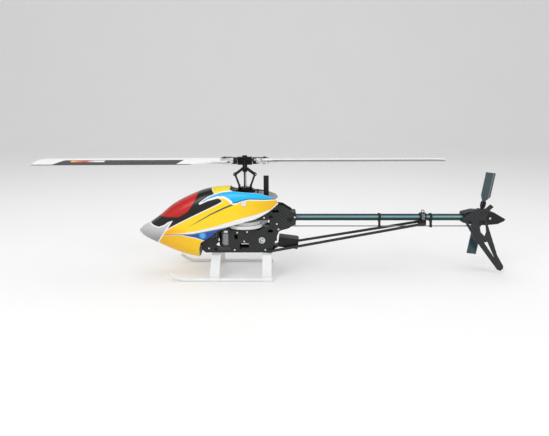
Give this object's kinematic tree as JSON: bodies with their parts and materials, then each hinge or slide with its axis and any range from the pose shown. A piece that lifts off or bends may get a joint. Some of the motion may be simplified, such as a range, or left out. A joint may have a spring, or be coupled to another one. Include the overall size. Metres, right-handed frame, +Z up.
{
  "type": "remote control helicopter",
  "caption": "Electric model helicopter with a two-blade flybarless rotor, painted canopy, skids and a shaft-driven tail rotor on a slim boom",
  "frame": {"origin": "middle of the outline on the floor plane under the skids", "axes": "+X from the nose to the tail, +Y to starboard, +Z up; the nose points to -X"},
  "size_m": [0.8134, 0.1128, 0.209],
  "materials": {
    "carbon": "twill carbon plate, satin",
    "black_metal": "black anodised aluminium",
    "silver_metal": "machined silver aluminium",
    "steel": "ground steel",
    "boom_black": "glossy black tube with a teal sheen",
    "white_plastic": "white moulded nylon",
    "black_plastic": "black moulded nylon",
    "canopy_paint": "painted glass-fibre shell in yellow, blue, white and black",
    "white_rubber": "soft white rubber",
    "blade_paint": "painted carbon blade",
    "tail_blade_plastic": "dark moulded blade",
    "battery_wrap": "dark shrink wrap",
    "strap_cloth": "hook and loop webbing"
  },
  "bodies": {
    "airframe": {"frame_plate_left": "carbon", "frame_plate_right": "carbon", "bottom_plate": "carbon", "battery_tray": "carbon", "bearing_blocks": "black_metal", "bearings": "steel", "frame_posts": "silver_metal", "frame_screws": "steel", "boom_clamp": "black_plastic", "tail_boom": "boom_black", "boom_braces": "carbon", "boom_fittings": "black_plastic", "tail_case": "black_plastic", "vertical_fin": "carbon", "skid_arches": "white_plastic", "skid_pipes": "white_plastic", "battery_pack": "battery_wrap", "battery_strap": "strap_cloth", "speed_controller": "black_plastic", "flybarless_controller": "black_plastic", "servo_cases": "black_plastic", "motor_base": "silver_metal", "anti_rotation_guide": "black_plastic"},
    "canopy": {"canopy": "canopy_paint", "canopy_grommets": "white_rubber"},
    "motor": {"motor_bell": "silver_metal", "motor_pinion": "steel"},
    "rotor": {"main_shaft": "steel", "head_block": "black_metal", "feathering_shaft": "steel", "main_gear": "white_plastic", "tail_drive_gear": "white_plastic"},
    "swash_lower": {"swash_outer": "black_metal", "servo_links": "black_plastic"},
    "swash_upper": {"swash_inner": "black_metal", "pitch_links": "black_plastic"},
    "follower_arm_front": {"follower_arm_front": "black_plastic"},
    "follower_arm_rear": {"follower_arm_rear": "black_plastic"},
    "follower_link_front": {"follower_link_front": "black_plastic"},
    "follower_link_rear": {"follower_link_rear": "black_plastic"},
    "grip_front": {"grip_front": "silver_metal"},
    "grip_rear": {"grip_rear": "silver_metal"},
    "blade_front": {"blade_front": "blade_paint"},
    "blade_rear": {"blade_rear": "blade_paint"},
    "servo_arm_left": {"servo_arm_left": "black_plastic"},
    "servo_arm_right": {"servo_arm_right": "black_plastic"},
    "servo_arm_rear": {"servo_arm_rear": "black_plastic"},
    "servo_arm_tail": {"servo_arm_tail": "black_plastic"},
    "tail_drive": {"tail_drive_shaft": "white_plastic"},
    "torque_tube": {"torque_tube": "black_metal"},
    "tail_rotor": {"tail_shaft": "steel", "tail_hub": "black_metal"},
    "tail_grip_upper": {"tail_grip_upper": "black_plastic"},
    "tail_grip_lower": {"tail_grip_lower": "black_plastic"},
    "tail_blade_upper": {"tail_blade_upper": "tail_blade_plastic"},
    "tail_blade_lower": {"tail_blade_lower": "tail_blade_plastic"},
    "tail_slider": {"tail_slider_ring": "black_metal"},
    "tail_spider": {"tail_slider_hub": "black_plastic"},
    "tail_lever": {"tail_lever": "black_plastic"},
    "control_rod": {"control_rod": "steel"}
  },
  "joints": [
    {"name": "rotor_spin", "type": "hinge", "parent": "airframe", "child": "rotor", "pos_m": [-0.051, 0, 0.2], "axis": [0, 0, 1], "continuous": true},
    {"name": "motor_spin", "type": "hinge", "parent": "airframe", "child": "motor", "pos_m": [-0.0845, 0, 0.085], "axis": [0, 0, 1], "continuous": true},
    {"name": "tail_drive_spin", "type": "hinge", "parent": "airframe", "child": "tail_drive", "pos_m": [-0.01825, 0, 0.095], "axis": [0, 0, 1], "continuous": true},
    {"name": "torque_tube_spin", "type": "hinge", "parent": "airframe", "child": "torque_tube", "pos_m": [0.149, 0, 0.1005], "axis": [1, 0, 0], "continuous": true},
    {"name": "tail_rotor_spin", "type": "hinge", "parent": "airframe", "child": "tail_rotor", "pos_m": [0.3757, 0, 0.1005], "axis": [0, 1, 0], "continuous": true},
    {"name": "collective", "type": "slide", "parent": "airframe", "child": "swash_lower", "axis": [0, 0, 1], "range_m": [-0.00618, 0.0001]},
    {"name": "swash_upper_rise", "type": "slide", "parent": "rotor", "child": "swash_upper", "axis": [0, 0, 1], "range_m": [-0.0062, 0.00012]},
    {"name": "grip_front_pitch", "type": "hinge", "parent": "rotor", "child": "grip_front", "pos_m": [-0.07099, -0.0007, 0.2], "axis": [0.9994, 0.0349, 0], "range_deg": [-22.1, 0.46]},
    {"name": "grip_rear_pitch", "type": "hinge", "parent": "rotor", "child": "grip_rear", "pos_m": [-0.03101, 0.0007, 0.2], "axis": [-0.9994, -0.0349, 0], "range_deg": [-22.1, 0.46]},
    {"name": "blade_front_fold", "type": "hinge", "parent": "grip_front", "child": "blade_front", "pos_m": [-0.08498, -0.00119, 0.2], "axis": [0.0084, -0.2418, 0.9703], "range_deg": [-90, 90]},
    {"name": "blade_rear_fold", "type": "hinge", "parent": "grip_rear", "child": "blade_rear", "pos_m": [-0.01702, 0.00119, 0.2], "axis": [-0.0084, 0.2418, 0.9703], "range_deg": [-90, 90]},
    {"name": "follower_arm_front_swing", "type": "hinge", "parent": "rotor", "child": "follower_arm_front", "pos_m": [-0.0552, -0.00015, 0.186], "axis": [-0.0349, 0.9994, 0], "range_deg": [-28.8, 0.56]},
    {"name": "follower_arm_rear_swing", "type": "hinge", "parent": "rotor", "child": "follower_arm_rear", "pos_m": [-0.0468, 0.00015, 0.186], "axis": [0.0349, -0.9994, 0], "range_deg": [-28.8, 0.56]},
    {"name": "follower_link_front_swing", "type": "hinge", "parent": "swash_upper", "child": "follower_link_front", "pos_m": [-0.06099, -0.00035, 0.157], "axis": [0.0349, -0.9994, 0], "range_deg": [-17.45, 0.38]},
    {"name": "follower_link_rear_swing", "type": "hinge", "parent": "swash_upper", "child": "follower_link_rear", "pos_m": [-0.04101, 0.00035, 0.157], "axis": [-0.0349, 0.9994, 0], "range_deg": [-17.45, 0.38]},
    {"name": "servo_left_swing", "type": "hinge", "parent": "airframe", "child": "servo_arm_left", "pos_m": [-0.076, -0.017, 0.12], "axis": [0, -1, 0], "range_deg": [-25.6, 0.51]},
    {"name": "servo_right_swing", "type": "hinge", "parent": "airframe", "child": "servo_arm_right", "pos_m": [-0.076, 0.017, 0.109], "axis": [0, -1, 0], "range_deg": [-25.6, 0.51]},
    {"name": "servo_rear_swing", "type": "hinge", "parent": "airframe", "child": "servo_arm_rear", "pos_m": [-0.015, 0, 0.116], "axis": [0, 1, 0], "range_deg": [-25.6, 0.51]},
    {"name": "tail_pitch", "type": "slide", "parent": "airframe", "child": "tail_slider", "axis": [0, 1, 0], "range_m": [-0.0018, 0.0018]},
    {"name": "tail_spider_slide", "type": "slide", "parent": "tail_rotor", "child": "tail_spider", "axis": [0, 1, 0], "range_m": [-0.00182, 0.00182]},
    {"name": "tail_grip_upper_pitch", "type": "hinge", "parent": "tail_rotor", "child": "tail_grip_upper", "pos_m": [0.37708, 0.025, 0.11242], "axis": [-0.1149, 0, -0.9934], "range_deg": [-14.6, 14.6]},
    {"name": "tail_grip_lower_pitch", "type": "hinge", "parent": "tail_rotor", "child": "tail_grip_lower", "pos_m": [0.37432, 0.025, 0.08858], "axis": [0.1149, 0, 0.9934], "range_deg": [-14.6, 14.6]},
    {"name": "tail_blade_upper_fold", "type": "hinge", "parent": "tail_grip_upper", "child": "tail_blade_upper", "pos_m": [0.378, 0.025, 0.12037], "axis": [0, 1, 0], "range_deg": [-60, 60]},
    {"name": "tail_blade_lower_fold", "type": "hinge", "parent": "tail_grip_lower", "child": "tail_blade_lower", "pos_m": [0.3734, 0.025, 0.08063], "axis": [0, 1, 0], "range_deg": [-60, 60]},
    {"name": "tail_lever_swing", "type": "hinge", "parent": "airframe", "child": "tail_lever", "pos_m": [0.358, 0.014, 0.095], "axis": [0, 0, 1], "range_deg": [-5.93, 5.93]},
    {"name": "control_rod_slide", "type": "slide", "parent": "airframe", "child": "control_rod", "axis": [1, 0, 0], "range_m": [-0.0022, 0.0022]},
    {"name": "servo_tail_swing", "type": "hinge", "parent": "airframe", "child": "servo_arm_tail", "pos_m": [-0.0015, -0.005, 0.075], "axis": [0, 1, 0], "range_deg": [-11.01, 11.01]},
    {"name": "canopy_slide", "type": "slide", "parent": "airframe", "child": "canopy", "axis": [-1, 0, 0], "range_m": [0, 0.2]}
  ],
  "couplings": [
    {"joint": "motor_spin", "follows": "rotor_spin", "ratio": -9.3077},
    {"joint": "tail_drive_spin", "follows": "rotor_spin", "ratio": -4.24},
    {"joint": "torque_tube_spin", "follows": "rotor_spin", "ratio": 4.24},
    {"joint": "tail_rotor_spin", "follows": "rotor_spin", "ratio": 4.24},
    {"joint": "swash_upper_rise", "follows": "collective", "ratio": 1},
    {"joint": "grip_front_pitch", "follows": "collective", "rad_per_m": 62.131},
    {"joint": "grip_rear_pitch", "follows": "collective", "rad_per_m": 62.131},
    {"joint": "follower_arm_front_swing", "follows": "collective", "rad_per_m": 81.053},
    {"joint": "follower_arm_rear_swing", "follows": "collective", "rad_per_m": 81.053},
    {"joint": "follower_link_front_swing", "follows": "collective", "rad_per_m": 48.999},
    {"joint": "follower_link_rear_swing", "follows": "collective", "rad_per_m": 48.999},
    {"joint": "servo_left_swing", "follows": "collective", "rad_per_m": 72.016},
    {"joint": "servo_right_swing", "follows": "collective", "rad_per_m": 72.016},
    {"joint": "servo_rear_swing", "follows": "collective", "rad_per_m": 72.016},
    {"joint": "tail_spider_slide", "follows": "tail_pitch", "ratio": 1},
    {"joint": "tail_grip_upper_pitch", "follows": "tail_pitch", "rad_per_m": 140.6},
    {"joint": "tail_grip_lower_pitch", "follows": "tail_pitch", "rad_per_m": 140.6},
    {"joint": "tail_lever_swing", "follows": "tail_pitch", "rad_per_m": 56.497},
    {"joint": "control_rod_slide", "follows": "tail_pitch", "ratio": 1.1638},
    {"joint": "servo_tail_swing", "follows": "tail_pitch", "rad_per_m": 105.8}
  ]
}
